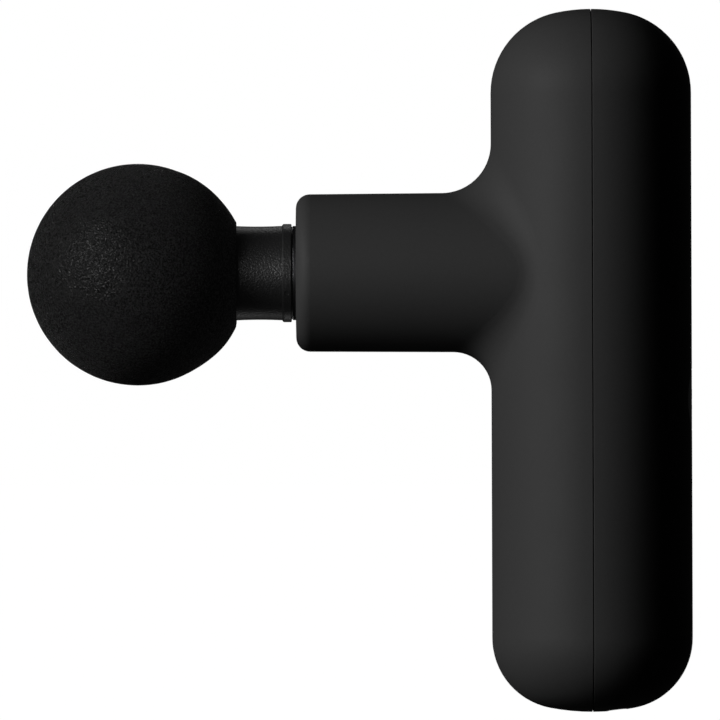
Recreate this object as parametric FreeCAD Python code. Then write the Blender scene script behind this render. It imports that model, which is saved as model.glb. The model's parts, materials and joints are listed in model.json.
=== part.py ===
"""Pocket massage gun: a T-shaped housing, an eccentric-and-yoke drive and a push-in ball head.

Units are millimetres.  +Z runs up the handle, -X runs along the barrel towards the ball.
The origin is the centre of the round grip, on the handle's axis.
"""

import math
import os

import FreeCAD
import Part

V = FreeCAD.Vector
X = V(1, 0, 0)
Y = V(0, 1, 0)
Z = V(0, 0, 1)

# ---- driving dimensions -------------------------------------------------------------------
FOOT_Z = -40.2          # lowest point of the handle
TOP_Z = 100.0           # highest point of the handle
HANDLE_R = 20.0
WALL = 2.0
AXIS_Z = 47.5           # height of the barrel's axis
NOSE_X = -58.9          # front face of the barrel
BARREL_NOSE_R = 15.7    # the barrel has a slight mould draft
BARREL_ROOT_R = 16.0
NOSE_EDGE_R = 2.8
BLEND_TOP_R = 9.8       # hollow fillet where the barrel meets the handle, above
BLEND_FOOT_R = 7.6      # the same fillet, below
SEAM_X = 0.0            # parting plane of the two shells
SEAM_GAP = 0.14
SEAM_ROUND_R = 0.12     # both shells' edges are eased where they meet
NOSE_RIM_ROUND_R = 0.3
BUTTON_ROUND_R = 0.15   # eases the rims of the button and its well

TOP_CROWN_R, TOP_SHOULDER_R = 33.9, 16.35
FOOT_CROWN_R, FOOT_SHOULDER_R = 44.3, 14.2

CRANK_THROW = 3.5       # stroke is twice this
FIT = 0.04              # radial clearance of a running fit
SNUG = 0.02             # radial clearance of a seated, fixed piece

INNER_R = HANDLE_R - WALL
BARREL_BORE_R = 13.7
NOSE_BORE_R = 10.4

# ---- drive line, measured along the barrel -------------------------------------------------
PLUNGER_R = 9.4
PLUNGER_FRONT_X = -59.57
PLUNGER_REAR_X = -22.0
SOCKET_R = 6.2
SOCKET_END_X = -41.0
SHANK_R = 4.5
CROSS_PIN_X = -28.0
BUSH_R = 10.6
SLEEVE_R = 12.6
FRAME_R = 16.4
CAVITY_R = 14.6

# ---- drive line, measured up the motor's axis ----------------------------------------------
FRAME_LOW_Z, FRAME_FLOOR_Z = 33.0, 35.0
FRAME_CEILING_Z, FRAME_TOP_Z = 60.0, 62.5
ROLLER_R, ROLLER_HALF = 5.0, 2.5
CRANK_LOW_Z, CRANK_FLANGE_Z, CRANK_TOP_Z = 52.2, 56.7, 58.2
MOTOR_R = 13.8
MOTOR_FLANGE_TOP = 65.0
STATOR_LOW, STATOR_TOP = 67.0, 82.0
TUBE_TOP = 87.0
BELL_LOW, BELL_PLATE, BELL_TOP, BELL_HUB_TOP = 66.0, 88.0, 89.5, 92.0
SHAFT_R = 2.0
MOTOR_BOLT_CIRCLE_R, BOLT_HOLE_R = 9.5, 1.15
LEAD_EXIT_Z = 64.3      # the leads leave through a notch in the motor's flange

# ---- head -----------------------------------------------------------------------------------
BALL_R = 22.15
BALL_X = -90.45
BALL_DROP = 0.22        # the foam sits a little low on its core
COLLAR_FRONT_X, COLLAR_REAR_X, COLLAR_R = -61.63, -59.77, 9.8
SHOULDER_R = 9.25       # the step behind the collar that all but meets the plunger
NECK_R, NECK_WAIST_R = 9.42, 9.30
HUB_R, HUB_END_X = 7.95, -98.0
CORE_DISC_X, CORE_DISC_T, CORE_DISC_R = -92.0, 2.0, 11.0     # keeps the foam on the core
SPIGOT_R, SPIGOT_END_X = 6.1, -41.4
SPIGOT_BORE_R, SPIGOT_BORE_X = 4.2, -58.0
O_RING_X, O_RING_WIRE = -48.0, 0.55

# ---- electronics ----------------------------------------------------------------------------
BOARD_X, BOARD_T = 6.5, 1.6
BOARD_BACK_X = BOARD_X + BOARD_T
BUTTON_Z, BUTTON_R = 22.0, 6.0
BUTTON_GAP = 0.15       # between the button and its well
BUTTON_SUNK = 0.02      # the button's face lies this far under the handle's surface
LED_Z = [8.0, 4.0, 0.0, -4.0]
PORT_X, PORT_HALF_W, PORT_HALF_T = 4.87, 4.47, 1.63
CELL_R, CELL_X, CELL_Y = 7.1, -5.0, 7.3
CELL_LOW, CELL_TOP = -29.0, 21.0


# ---- small building blocks ------------------------------------------------------------------
def cyl_z(r, z0, z1, x=0.0, y=0.0):
    return Part.makeCylinder(r, z1 - z0, V(x, y, z0), Z)


def cyl_x(r, x0, x1, y=0.0, z=AXIS_Z):
    return Part.makeCylinder(r, x1 - x0, V(x0, y, z), X)


def cyl_y(r, y0, y1, x=0.0, z=AXIS_Z):
    return Part.makeCylinder(r, y1 - y0, V(x, y0, z), Y)


def block(x0, x1, y0, y1, z0, z1):
    return Part.makeBox(x1 - x0, y1 - y0, z1 - z0, V(x0, y0, z0))


def ring_z(r0, r1, z0, z1, x=0.0, y=0.0):
    return cyl_z(r1, z0, z1, x, y).cut(cyl_z(r0, z0 - 1, z1 + 1, x, y))


def ring_x(r0, r1, x0, x1, y=0.0, z=AXIS_Z):
    return cyl_x(r1, x0, x1, y, z).cut(cyl_x(r0, x0 - 1, x1 + 1, y, z))


def fuse(first, *others):
    return first.multiFuse(list(others)).removeSplitter()


def turned(shape, degrees, centre=V(0, 0, 0), axis=Z):
    copy = shape.copy()
    copy.rotate(centre, axis, degrees)
    return copy


def mirrored_y(shape):
    return shape.mirror(V(0, 0, 0), Y)


def points_along(edge):
    first, last = edge.ParameterRange
    return [edge.valueAt(first + (last - first) * t) for t in (0.0, 0.3, 0.5, 0.8, 1.0)]


def outline_face(start, steps):
    """A closed face from start through steps: a point is a line, a (middle, end) pair an arc."""
    edges, here = [], start
    for step in steps:
        if isinstance(step, tuple):
            middle, end = step
            edges.append(Part.Arc(here, middle, end).toShape())
        else:
            end = step
            edges.append(Part.LineSegment(here, end).toShape())
        here = end
    if here.distanceToPoint(start) > 1e-6:
        edges.append(Part.LineSegment(here, start).toShape())
    return Part.Face(Part.Wire(edges))


def turned_about_barrel(start, steps):
    """Revolves an outline given as (x, radius) pairs about the barrel's axis."""
    def point(p):
        return V(p[0], 0, AXIS_Z + p[1])

    def convert(step):
        is_arc = isinstance(step[0], tuple)
        return (point(step[0]), point(step[1])) if is_arc else point(step)

    face = outline_face(point(start), [convert(s) for s in steps])
    return face.revolve(V(0, 0, AXIS_Z), X, 360)


def wire_tube(points, radius):
    """A round wire along straight runs joined by tangent arcs as large as the runs allow."""
    edges, here = [], points[0]
    bends = []
    for before, corner, after in zip(points, points[1:], points[2:]):
        come, go = (before - corner), (after - corner)
        run = min(come.Length, go.Length)
        come.normalize()
        go.normalize()
        turn = math.pi - come.getAngle(go)
        cut_back = 0.45 * run
        bend_r = cut_back / math.tan(turn / 2)
        enter, leave = corner + come * cut_back, corner + go * cut_back
        inward = (come + go).normalize()
        centre = corner + inward * math.hypot(bend_r, cut_back)
        middle = centre - inward * bend_r
        edges.append(Part.LineSegment(here, enter).toShape())
        edges.append(Part.Arc(enter, middle, leave).toShape())
        bends.append(round(bend_r, 2))
        here = leave
    edges.append(Part.LineSegment(here, points[-1]).toShape())
    path = Part.Wire(edges)
    start_way = points[1] - points[0]
    section = Part.Wire([Part.makeCircle(radius, points[0], start_way)])
    tube = path.makePipeShell([section], True, False)
    expected = math.pi * radius ** 2 * path.Length
    print("wire bends", bends, "volume ratio", round(tube.Volume / expected, 4))
    return tube


# ---- housing --------------------------------------------------------------------------------
def end_curve(z_end, inward, crown_r, shoulder_r, offset):
    """Points of one rounded handle end, from the axis out to the straight side."""
    across = HANDLE_R - shoulder_r
    rise = crown_r - math.sqrt((crown_r - shoulder_r) ** 2 - across ** 2)
    lean = math.atan2(across, crown_r - rise)

    def on_crown(angle):
        r = crown_r - offset
        return V(r * math.sin(angle), 0, z_end + inward * (crown_r - r * math.cos(angle)))

    def on_shoulder(angle):
        r = shoulder_r - offset
        return V(across + r * math.sin(angle), 0, z_end + inward * (rise - r * math.cos(angle)))

    half_way = (lean + math.pi / 2) / 2
    return (on_crown(0), on_crown(lean / 2), on_crown(lean), on_shoulder(half_way),
            on_shoulder(math.pi / 2))


def handle_solid(offset):
    """The handle's round body with its crowned ends, its surface moved in by offset."""
    foot, foot_a, foot_b, foot_c, foot_d = end_curve(
        FOOT_Z, 1, FOOT_CROWN_R, FOOT_SHOULDER_R, offset)
    top, top_a, top_b, top_c, top_d = end_curve(
        TOP_Z, -1, TOP_CROWN_R, TOP_SHOULDER_R, offset)
    face = outline_face(foot, [(foot_a, foot_b), (foot_c, foot_d), top_d, (top_c, top_b),
                               (top_a, top)])
    return face.revolve(V(0, 0, 0), Z, 360)


def barrel_solid():
    """The barrel with its rounded, very slightly crowned nose."""
    edge_x = NOSE_X + NOSE_EDGE_R
    flat_r = BARREL_NOSE_R - NOSE_EDGE_R
    diagonal = NOSE_EDGE_R * math.sqrt(0.5)
    crown = 0.12
    return turned_about_barrel(
        (NOSE_X - crown, 0),
        [((NOSE_X - 0.75 * crown, flat_r / 2), (NOSE_X, flat_r)),
         ((edge_x - diagonal, flat_r + diagonal), (edge_x, BARREL_NOSE_R)),
         (-10.0, BARREL_ROOT_R), (0.0, BARREL_ROOT_R), (0.0, 0)])


def is_barrel_joint(edge):
    """True for the edge where the barrel's side runs into the handle's side."""
    places = points_along(edge)
    on_handle = all(abs(math.hypot(p.x, p.y) - HANDLE_R) < 0.02 for p in places)
    on_barrel = all(abs(math.hypot(p.y, p.z - AXIS_Z) - BARREL_ROOT_R) < 0.3 for p in places)
    return on_handle and on_barrel and all(p.x < -5 for p in places)


def housing_outside():
    """Both shells' outer shape: one half with its changing fillet, and its mirror image."""
    near_half = block(-80, 40, 0, 40, -60, 120)
    half = handle_solid(0).fuse(barrel_solid()).common(near_half).removeSplitter()
    joints = [edge for edge in half.Edges if is_barrel_joint(edge)]
    for edge in joints:
        starts_high = edge.valueAt(edge.FirstParameter).z > edge.valueAt(edge.LastParameter).z
        radii = (BLEND_TOP_R, BLEND_FOOT_R) if starts_high else (BLEND_FOOT_R, BLEND_TOP_R)
        half = half.makeFillet(*radii, [edge])
    return half.fuse(mirrored_y(half)).removeSplitter()


def housing_inside():
    bore = cyl_x(BARREL_BORE_R, NOSE_X + WALL, 0)
    return handle_solid(WALL).fuse(bore)


HOOK_Z = [-22.0, 12.0, 84.0]


def hook_arms():
    """Snap arms of the rear shell, one at each hook height on both sides."""
    arms = []
    for z in HOOK_Z:
        arm = block(-4.5, 3.0, 16.1, 17.1, z - 3, z + 3)
        barb = block(-4.5, -3.5, 17.0, 17.9, z - 3, z + 3)
        root = block(1.0, 3.0, 16.1, 18.5, z - 3, z + 3)
        one_side = fuse(arm, barb, root)
        arms += [one_side, mirrored_y(one_side)]
    return arms


def hook_windows():
    cuts = []
    for z in HOOK_Z:
        window = block(-4.9, -3.3, 16.0, 18.8, z - 3.4, z + 3.4)
        cuts += [window, mirrored_y(window)]
    return cuts


def seam_edges(shell, plane_x):
    """The shell's edges in the parting plane that lie on the outer surface."""
    core = handle_solid(0.5)
    return [edge for edge in shell.Edges
            if all(abs(p.x - plane_x) < 1e-4 and not core.isInside(p, 1e-6, True)
                   for p in points_along(edge))]


def rim_edges(shape, radius, axis_z, low_x, high_x):
    """Edges at one radius from the line along X at height axis_z, between two planes."""
    return [edge for edge in shape.Edges
            if all(abs(math.hypot(p.y, p.z - axis_z) - radius) < 1e-3 and low_x < p.x < high_x
                   for p in points_along(edge))]


def front_shell(outside, inside):
    """The T-shaped front half: handle front, barrel and nose in one moulding."""
    front_space = block(-80, SEAM_X - SEAM_GAP / 2, -40, 40, -60, 120)
    shell = outside.cut(inside).common(front_space)
    rebate = handle_solid(1.0).common(block(-1.3, 5, -40, 40, -60, 120))
    shell = shell.cut(rebate)
    shell = shell.cut(cyl_x(NOSE_BORE_R, NOSE_X - 2, NOSE_X + 4))
    for window in hook_windows():
        shell = shell.cut(window)
    nose_rim = rim_edges(shell, NOSE_BORE_R, AXIS_Z, NOSE_X - 1, NOSE_X + 0.1)
    shell = shell.makeFillet(NOSE_RIM_ROUND_R, nose_rim)
    return shell.makeFillet(SEAM_ROUND_R, seam_edges(shell, SEAM_X - SEAM_GAP / 2))


def port_slot(half_w, half_t, z0, z1):
    """An upright prism with the rounded-slot section of the charging port."""
    core = block(PORT_X - half_t, PORT_X + half_t, -(half_w - half_t), half_w - half_t, z0, z1)
    ends = [cyl_z(half_t, z0, z1, PORT_X, side * (half_w - half_t)) for side in (-1, 1)]
    return fuse(core, *ends)


BEZEL_DEPTH = 1.0
BEZEL_MARGIN = 1.9


def bezel_body():
    slot = port_slot(PORT_HALF_W + BEZEL_MARGIN, PORT_HALF_T + BEZEL_MARGIN, -42, -36)
    return slot.common(handle_solid(0)).cut(handle_solid(BEZEL_DEPTH))


def board_screw_places():
    return [(side * 10.5, z) for z in (24.0, -24.0) for side in (-1, 1)]


def rear_shell(outside, inside):
    """The back half of the handle with its lip, snap arms, button well and board posts."""
    rear_space = block(SEAM_X + SEAM_GAP / 2, 40, -40, 40, -60, 120)
    shell = outside.cut(inside).common(rear_space)
    lip_ring = handle_solid(1.05).cut(handle_solid(WALL))
    lip = lip_ring.common(block(-1.0, 1.5, -40, 40, -60, 120))
    in_cavity = handle_solid(WALL - 0.3)
    well = ring_x(7.5, 8.6, 13.5, 19, 0, BUTTON_Z).common(in_cavity)
    posts = [cyl_x(2.4, BOARD_BACK_X, 19, y, z).common(in_cavity) for y, z in board_screw_places()]
    arms = [arm.common(in_cavity) for arm in hook_arms()]
    shell = fuse(shell, lip, well, *posts, *arms)
    for y, z in board_screw_places():
        shell = shell.cut(cyl_x(0.97, BOARD_BACK_X - 1, 13.4, y, z))
    shell = shell.cut(cyl_x(BUTTON_R + BUTTON_GAP, 12, 22, 0, BUTTON_Z))
    for z in LED_Z:
        shell = shell.cut(cyl_x(0.95, 12, 22, 0, z))
    bezel_seat = port_slot(PORT_HALF_W + BEZEL_MARGIN + 0.05, PORT_HALF_T + BEZEL_MARGIN + 0.05,
                           -42, -36)
    shell = shell.cut(bezel_seat.cut(handle_solid(BEZEL_DEPTH)))
    shell = shell.cut(port_slot(PORT_HALF_W + 0.3, PORT_HALF_T + 0.3, -42, -34))
    well_rim = rim_edges(shell, BUTTON_R + BUTTON_GAP, BUTTON_Z, HANDLE_R - 1.2, HANDLE_R + 1)
    shell = shell.makeFillet(BUTTON_ROUND_R, well_rim)
    return shell.makeFillet(SEAM_ROUND_R, seam_edges(shell, SEAM_X + SEAM_GAP / 2))


def port_bezel():
    return bezel_body().cut(port_slot(PORT_HALF_W + 0.25, PORT_HALF_T + 0.25, -43, -34))


def nose_wiper():
    """Rubber wiper that closes the gap round the plunger."""
    lip_r = PLUNGER_R + 0.2
    return turned_about_barrel(
        (NOSE_X + 0.35, lip_r),
        [(NOSE_X + 0.35, NOSE_BORE_R - 0.05), (NOSE_X + WALL + 0.05, NOSE_BORE_R - 0.05),
         (NOSE_X + WALL + 0.05, 12.4), (NOSE_X + WALL + 1.2, 12.4),
         (NOSE_X + WALL + 1.2, lip_r + 0.3), (NOSE_X + WALL, lip_r)])


# ---- guide and frame ------------------------------------------------------------------------
SLEEVE_FRONT_X, SLEEVE_REAR_X = -55.6, -14.8
RING_X = [-52.0, -34.0]
RING_GROOVE_W = 5.1


def guide_sleeve():
    tube = ring_x(BUSH_R + SNUG, SLEEVE_R, SLEEVE_FRONT_X, SLEEVE_REAR_X)
    grooves = [ring_x(SLEEVE_R - 0.4, SLEEVE_R + 1, x, x + RING_GROOVE_W) for x in RING_X]
    return tube.cut(Part.makeCompound(grooves))


def guide_bush(x0, x1):
    bush = ring_x(PLUNGER_R + FIT, BUSH_R, x0, x1)
    relief = ring_x(PLUNGER_R, PLUNGER_R + 0.35, (x0 + x1) / 2 - 0.8, (x0 + x1) / 2 + 0.8)
    return bush.cut(relief)


def barrel_damper_rings():
    inner_r, outer_r = SLEEVE_R - 0.37, BARREL_BORE_R - 0.03
    return Part.makeCompound(
        [ring_x(inner_r, outer_r, x + 0.05, x + RING_GROOVE_W - 0.05) for x in RING_X])


WIRE_CHANNEL_X, WIRE_CHANNEL_HALF = 12.2, 3.2


def wire_channel(z0, z1):
    return block(WIRE_CHANNEL_X, 20, -WIRE_CHANNEL_HALF, WIRE_CHANNEL_HALF, z0, z1)


def drive_frame():
    """The rigid cup that ties the motor to the guide sleeve."""
    cup = cyl_z(FRAME_R, FRAME_LOW_Z, FRAME_TOP_Z)
    snout = cyl_x(13.5, -18.0, -8.0)
    frame = fuse(cup, snout)
    frame = frame.cut(cyl_z(CAVITY_R, FRAME_FLOOR_Z, FRAME_CEILING_Z))
    frame = frame.cut(cyl_x(PLUNGER_R + 0.8, -19, 0))
    frame = frame.cut(cyl_x(SLEEVE_R + SNUG, -19, SLEEVE_REAR_X + 0.05))
    frame = frame.cut(wire_channel(30, 70))
    frame = frame.cut(cyl_y(7.5, -20, 20, 1.0, AXIS_Z))
    frame = frame.cut(cyl_z(5.6, 58, 64))
    frame = frame.cut(cyl_z(6.0, 30, 36))
    for x, y in motor_bolt_places():
        frame = frame.cut(cyl_z(BOLT_HOLE_R, 58, 64, x, y))
    return frame


def frame_damper(z0, z1):
    """Rubber ring that floats the frame in the housing, open where the wires pass."""
    ring = ring_z(FRAME_R + SNUG, INNER_R - SNUG, z0, z1)
    ring = ring.cut(wire_channel(z0 - 1, z1 + 1))
    return ring.cut(cyl_x(13.6, -20, 0))


# ---- plunger --------------------------------------------------------------------------------
def plunger_tube():
    edge, lead_in = 0.15, 0.6
    inset = edge * (1 - math.sqrt(0.5))
    body = turned_about_barrel(
        (PLUNGER_FRONT_X, SOCKET_R + lead_in),
        [(PLUNGER_FRONT_X, PLUNGER_R - edge),
         ((PLUNGER_FRONT_X + inset, PLUNGER_R - inset), (PLUNGER_FRONT_X + edge, PLUNGER_R)),
         (PLUNGER_REAR_X - 0.5, PLUNGER_R), (PLUNGER_REAR_X, PLUNGER_R - 0.5),
         (PLUNGER_REAR_X, SHANK_R + SNUG), (-36.0, SHANK_R + SNUG), (-36.0, 0),
         (SOCKET_END_X, 0), (SOCKET_END_X, SOCKET_R), (PLUNGER_FRONT_X + lead_in, SOCKET_R)])
    pin_hole = cyl_z(1.5, AXIS_Z - 12, AXIS_Z + 12, CROSS_PIN_X)
    return body.cut(pin_hole)


def cross_pin():
    pin = cyl_z(1.48, AXIS_Z - 8.8, AXIS_Z + 8.8, CROSS_PIN_X)
    return pin.makeChamfer(0.3, [e for e in pin.Edges if e.Length < 10])


def stadium(half_x, half_y, z0, z1, x):
    """An upright prism, half_x wide each way, with round ends in Y."""
    run = half_y - half_x
    core = block(x - half_x, x + half_x, -run, run, z0, z1)
    return fuse(core, cyl_z(half_x, z0, z1, x, -run), cyl_z(half_x, z0, z1, x, run))


YOKE_HALF_Z = 4.0
LINK_SLACK = 0.75       # play for the half turn, where the slide follows at a constant ratio


def yoke():
    """The cross-slotted frame that turns the roller's circle into a straight stroke."""
    low, high = AXIS_Z - YOKE_HALF_Z, AXIS_Z + YOKE_HALF_Z
    slot_half_x = ROLLER_R + LINK_SLACK + 0.1
    slot_half_y = ROLLER_R + CRANK_THROW + 0.3
    frame = stadium(slot_half_x + 2.2, slot_half_y + 2.2, low, high, CRANK_THROW)
    shank = cyl_x(SHANK_R, -34.0, CRANK_THROW)
    web = block(-13.0, CRANK_THROW, -6.0, 6.0, low, high)
    solid = fuse(frame, shank, web)
    solid = solid.cut(stadium(slot_half_x, slot_half_y, low - 2, high + 2, CRANK_THROW))
    return solid.cut(cyl_z(1.5, AXIS_Z - 12, AXIS_Z + 12, CROSS_PIN_X))


# ---- crank and roller -----------------------------------------------------------------------
PIN_R = 2.5
BALL_TRACK_R, BEARING_BALL_R = 3.75, 0.70


def crank():
    """Hub, flange and the offset pin, turned from one bar."""
    pin_low = AXIS_Z - ROLLER_HALF
    hub = cyl_z(7.4, CRANK_LOW_Z, CRANK_TOP_Z)
    flange = cyl_z(12.8, CRANK_FLANGE_Z, CRANK_TOP_Z)
    flange = flange.cut(block(8.0, 20, -20, 20, CRANK_FLANGE_Z - 1, CRANK_TOP_Z + 1))
    shoulder = cyl_z(3.3, AXIS_Z + ROLLER_HALF, CRANK_LOW_Z + 0.5, CRANK_THROW)
    pin = cyl_z(PIN_R, pin_low, CRANK_LOW_Z + 0.5, CRANK_THROW)
    solid = fuse(hub, flange, shoulder, pin)
    solid = solid.cut(cyl_z(SHAFT_R, CRANK_LOW_Z + 1.3, CRANK_TOP_Z + 1))
    solid = solid.cut(cyl_z(1.02, pin_low - 1, pin_low + 5, CRANK_THROW))
    solid = solid.cut(cyl_y(1.25, 0, 8, 0, 55.0))
    for x, y in counterweight_bolts():
        solid = solid.cut(cyl_z(1.02, CRANK_FLANGE_Z - 1, CRANK_TOP_Z - 0.3, x, y))
    return solid


def counterweight_bolts():
    angles = [math.radians(180 - 38), math.radians(180 + 38)]
    return [(10.2 * math.cos(a), 10.2 * math.sin(a)) for a in angles]


def counterweight():
    ring = ring_z(7.45, 12.8, CRANK_LOW_Z, CRANK_FLANGE_Z)
    solid = ring.common(block(-20, -0.5, -20, 20, 40, 70))
    for x, y in counterweight_bolts():
        solid = solid.cut(cyl_z(1.05, 50, 60, x, y))
        solid = solid.cut(cyl_z(2.05, 50, CRANK_LOW_Z + 1.4, x, y))
    return solid


def counterweight_screws():
    screws = []
    for x, y in counterweight_bolts():
        head = cyl_z(1.95, CRANK_LOW_Z + 0.1, CRANK_LOW_Z + 1.4, x, y)
        head = head.cut(cyl_z(0.8, CRANK_LOW_Z - 1, CRANK_LOW_Z + 0.8, x, y))
        screws.append(fuse(head, cyl_z(1.0, CRANK_LOW_Z + 1.4, CRANK_TOP_Z - 0.4, x, y)))
    return Part.makeCompound(screws)


def grub_screw():
    screw = cyl_y(1.22, SHAFT_R + 0.05, 6.8, 0, 55.0)
    socket = Part.makeCylinder(0.65, 2.0, V(0, 5.3, 55.0), Y)
    return screw.cut(socket)


def roller_washer():
    low = AXIS_Z - ROLLER_HALF
    return ring_z(1.05, 3.3, low - 0.8, low, CRANK_THROW)


def roller_screw():
    top = AXIS_Z - ROLLER_HALF - 0.8
    head = cyl_z(1.9, top - 1.3, top, CRANK_THROW)
    recess = cyl_z(0.8, top - 2, top - 0.6, CRANK_THROW)
    return fuse(head.cut(recess), cyl_z(1.0, top, top + 5.2, CRANK_THROW))


def ball_track():
    return Part.makeTorus(BALL_TRACK_R, BEARING_BALL_R + 0.05, V(CRANK_THROW, 0, AXIS_Z), Z)


def bearing_ring(r0, r1):
    low, high = AXIS_Z - ROLLER_HALF, AXIS_Z + ROLLER_HALF
    return ring_z(r0, r1, low, high, CRANK_THROW).cut(ball_track())


def roller_balls():
    count = 8
    balls = []
    for i in range(count):
        a = 2 * math.pi * i / count
        centre = V(CRANK_THROW + BALL_TRACK_R * math.cos(a), BALL_TRACK_R * math.sin(a), AXIS_Z)
        balls.append(Part.makeSphere(BEARING_BALL_R, centre))
    return Part.makeCompound(balls)


# ---- motor ----------------------------------------------------------------------------------
def motor_bolt_places():
    at = MOTOR_BOLT_CIRCLE_R * math.sqrt(0.5)
    return [(sx * at, sy * at) for sx in (-1, 1) for sy in (-1, 1)]


def motor_base():
    flange = cyl_z(MOTOR_R, FRAME_TOP_Z, MOTOR_FLANGE_TOP)
    boss = cyl_z(5.5, FRAME_TOP_Z - 1.8, FRAME_TOP_Z)
    tube = cyl_z(5.2, MOTOR_FLANGE_TOP, TUBE_TOP)
    solid = fuse(flange, boss, tube)
    solid = solid.cut(cyl_z(2.6, 55, 95))
    solid = solid.cut(cyl_z(4.0, 55, FRAME_TOP_Z + 1.2))
    solid = solid.cut(cyl_z(4.0, TUBE_TOP - 3.0, 95))
    for x, y in motor_bolt_places():
        solid = solid.cut(cyl_z(BOLT_HOLE_R, 60, MOTOR_FLANGE_TOP - 0.2, x, y))
    return solid.cut(block(7.0, 20, -2.1, 2.1, LEAD_EXIT_Z - 0.6, MOTOR_FLANGE_TOP + 0.1))


def motor_bearing(z0, z1):
    ring = ring_z(SHAFT_R + SNUG, 4.0 - SNUG, z0, z1)
    shield = ring_z(2.7, 3.4, z0 - 1, z0 + 0.2)
    shield_far = ring_z(2.7, 3.4, z1 - 0.2, z1 + 1)
    return ring.cut(shield).cut(shield_far)


def motor_screws():
    screws = []
    for x, y in motor_bolt_places():
        head = cyl_z(2.1, FRAME_CEILING_Z - 1.5, FRAME_CEILING_Z, x, y)
        recess = cyl_z(1.0, FRAME_CEILING_Z - 2, FRAME_CEILING_Z - 0.7, x, y)
        shank = cyl_z(1.1, FRAME_CEILING_Z, MOTOR_FLANGE_TOP - 0.4, x, y)
        screws.append(fuse(head.cut(recess), shank))
    return Part.makeCompound(screws)


TEETH = 9
POLES = 12


def stator_core():
    core = cyl_z(7.2, STATOR_LOW, STATOR_TOP)
    tip_ring = ring_z(10.6, 11.4, STATOR_LOW, STATOR_TOP)
    pieces = []
    for i in range(TEETH):
        angle = 360.0 * i / TEETH
        pieces.append(turned(block(6.5, 10.9, -0.9, 0.9, STATOR_LOW, STATOR_TOP), angle))
        tip = tip_ring.common(block(8, 12, -3.1, 3.1, STATOR_LOW - 1, STATOR_TOP + 1))
        pieces.append(turned(tip, angle))
    return fuse(core, *pieces).cut(cyl_z(5.2 + SNUG, 60, 90))


def stator_coils():
    outer = block(7.6, 10.3, -2.0, 2.0, STATOR_LOW - 1.1, STATOR_TOP + 1.1)
    inner = block(7.0, 11.0, -0.95, 0.95, STATOR_LOW - 0.05, STATOR_TOP + 0.05)
    corners = [e for e in outer.Edges if abs(e.tangentAt(e.FirstParameter).x) > 0.9]
    coil = outer.makeFillet(0.8, corners).cut(inner)
    return Part.makeCompound([turned(coil, 360.0 * i / TEETH) for i in range(TEETH)])


def rotor_bell():
    bell = cyl_z(MOTOR_R, BELL_LOW, BELL_TOP).cut(cyl_z(12.8, BELL_LOW - 1, BELL_PLATE))
    hub = cyl_z(4.2, BELL_TOP, BELL_HUB_TOP)
    bell = fuse(bell, hub)
    vent = ring_z(6.0, 11.0, BELL_PLATE - 1, BELL_TOP + 1).common(
        block(0, 20, -2.6, 2.6, 80, 95))
    for i in range(6):
        bell = bell.cut(turned(vent, 60.0 * i))
    return bell.cut(cyl_z(SHAFT_R, 80, 95))


def rotor_magnets():
    ring = ring_z(11.75, 12.78, STATOR_LOW, STATOR_TOP)
    magnet = ring.common(block(5, 20, -2.9, 2.9, 60, 90))
    return Part.makeCompound([turned(magnet, 360.0 * i / POLES) for i in range(POLES)])


def motor_shaft():
    shaft = cyl_z(SHAFT_R - 0.01, CRANK_LOW_Z + 1.5, BELL_HUB_TOP + 1.0)
    groove = ring_z(SHAFT_R - 0.4, SHAFT_R + 1, TUBE_TOP + 0.3, TUBE_TOP + 0.8)
    return shaft.cut(groove)


def shaft_clip():
    clip = ring_z(SHAFT_R - 0.38, 3.3, TUBE_TOP + 0.32, TUBE_TOP + 0.78)
    return clip.cut(block(0, 5, -0.9, 0.9, 80, 95))


# ---- massage head ---------------------------------------------------------------------------
def stem_outline(grow):
    """Outline of the head's stem; grow widens only the part that the foam is moulded round."""
    mouth_x = BALL_X + math.sqrt(BALL_R ** 2 - NECK_R ** 2)
    seat_x = mouth_x - 0.6
    hub_r, disc_r = HUB_R + grow, CORE_DISC_R + grow
    disc_front, disc_back = CORE_DISC_X - grow, CORE_DISC_X + CORE_DISC_T + grow
    return seat_x, [
        (HUB_END_X - grow, 0), (HUB_END_X - grow, hub_r), (disc_front, hub_r),
        (disc_front, disc_r), (disc_back, disc_r), (disc_back, hub_r),
        (seat_x - grow, hub_r), (seat_x - grow, NECK_R + grow)]


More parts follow.
